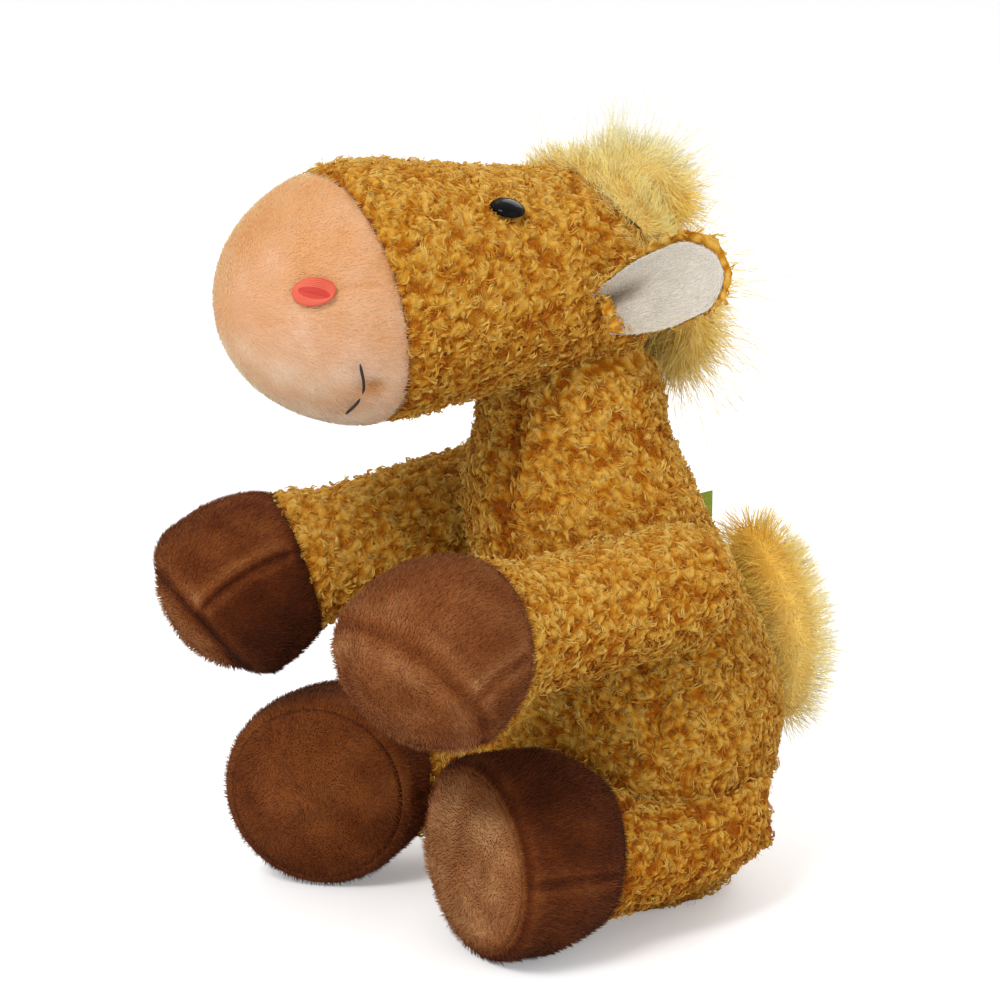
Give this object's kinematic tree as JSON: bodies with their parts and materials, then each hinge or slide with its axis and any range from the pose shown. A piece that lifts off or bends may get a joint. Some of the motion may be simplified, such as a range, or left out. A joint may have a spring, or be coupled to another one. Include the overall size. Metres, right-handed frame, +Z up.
{
  "type": "plush horse",
  "caption": "Sitting plush horse with curly fleece body, short-pile muzzle and hooves, cupped lined ears, and a soft mane and tail.",
  "frame": {"origin": "middle of the seat face, on the surface that the horse sits on", "axes": "+Z up, the horse looks along -Y, its left side is +X"},
  "size_m": [0.1635, 0.1851, 0.2161],
  "materials": {
    "fleece": "curly golden-brown fleece",
    "muzzle_pile": "short peach pile",
    "hoof_pile": "short brown pile with a soft sheen",
    "sole_pile": "short brown pile",
    "ear_lining": "short off-white pile",
    "mane_hair": "long soft pale-yellow pile",
    "tail_hair": "fluffy yellow pile",
    "nostril_thread": "coral satin stitch",
    "mouth_thread": "black cotton thread",
    "eye_plastic": "polished black",
    "washer_plastic": "plain moulded",
    "stuffing": "loose polyester fibre",
    "pouch_cloth": "plain woven cotton with pellets inside",
    "tag_cloth": "plain olive woven ribbon, bare",
    "label_cloth": "plain green woven ribbon, bare"
  },
  "bodies": {
    "torso": {"torso_left_panel": "fleece", "torso_right_panel": "fleece", "seat_panel": "fleece", "seat_pellet_pouch": "pouch_cloth", "torso_stuffing": "stuffing", "back_tag": "tag_cloth", "side_label": "label_cloth"},
    "head": {"head_cover": "fleece", "muzzle_cover": "muzzle_pile", "head_stuffing": "stuffing", "left_eye": "eye_plastic", "right_eye": "eye_plastic", "left_eye_washer": "washer_plastic", "right_eye_washer": "washer_plastic", "left_nostril": "nostril_thread", "right_nostril": "nostril_thread", "mouth_stitch": "mouth_thread", "mane_crown": "mane_hair", "mane_nape": "mane_hair"},
    "left_ear": {"left_ear_shell": "fleece", "left_ear_lining": "ear_lining"},
    "right_ear": {"right_ear_shell": "fleece", "right_ear_lining": "ear_lining"},
    "left_arm": {"left_arm_sleeve": "fleece", "left_arm_hoof_upper": "hoof_pile", "left_arm_hoof_lower": "hoof_pile", "left_arm_hoof_sole": "sole_pile", "left_arm_stuffing": "stuffing"},
    "right_arm": {"right_arm_sleeve": "fleece", "right_arm_hoof_upper": "hoof_pile", "right_arm_hoof_lower": "hoof_pile", "right_arm_hoof_sole": "sole_pile", "right_arm_stuffing": "stuffing"},
    "left_leg": {"left_leg_sleeve": "fleece", "left_leg_hoof_upper": "hoof_pile", "left_leg_hoof_lower": "hoof_pile", "left_leg_hoof_sole": "sole_pile", "left_leg_stuffing": "stuffing"},
    "right_leg": {"right_leg_sleeve": "fleece", "right_leg_hoof_upper": "hoof_pile", "right_leg_hoof_lower": "hoof_pile", "right_leg_hoof_sole": "sole_pile", "right_leg_stuffing": "stuffing"},
    "tail": {"tail_root": "fleece", "tail_tuft": "tail_hair"}
  },
  "joints": [
    {"name": "head_nod", "type": "hinge", "parent": "torso", "child": "head", "pos_m": [0, -0.0165, 0.139], "axis": [1, 0, 0], "range_deg": [-15, 12]},
    {"name": "left_ear_flop", "type": "hinge", "parent": "head", "child": "left_ear", "pos_m": [0.03557, -0.02572, 0.17091], "axis": [0.2863, 0.3118, -0.906], "range_deg": [-8, 25]},
    {"name": "right_ear_flop", "type": "hinge", "parent": "head", "child": "right_ear", "pos_m": [-0.03578, -0.02572, 0.17209], "axis": [0.4711, -0.404, 0.7841], "range_deg": [-8, 25]},
    {"name": "left_arm_raise", "type": "hinge", "parent": "torso", "child": "left_arm", "pos_m": [0.037, -0.006, 0.095], "axis": [-1, 0, 0], "range_deg": [0, 35]},
    {"name": "right_arm_raise", "type": "hinge", "parent": "torso", "child": "right_arm", "pos_m": [-0.037, -0.006, 0.1055], "axis": [-1, 0, 0], "range_deg": [0, 25]},
    {"name": "left_leg_spread", "type": "hinge", "parent": "torso", "child": "left_leg", "pos_m": [0.038, 0.025, 0.028], "axis": [0, 0, 1], "range_deg": [0, 25]},
    {"name": "right_leg_spread", "type": "hinge", "parent": "torso", "child": "right_leg", "pos_m": [-0.038, 0.025, 0.028], "axis": [0, 0, -1], "range_deg": [0, 25]},
    {"name": "tail_wag", "type": "hinge", "parent": "torso", "child": "tail", "pos_m": [0, 0.05143, 0.068], "axis": [0, 0, 1], "range_deg": [-20, 20]}
  ]
}
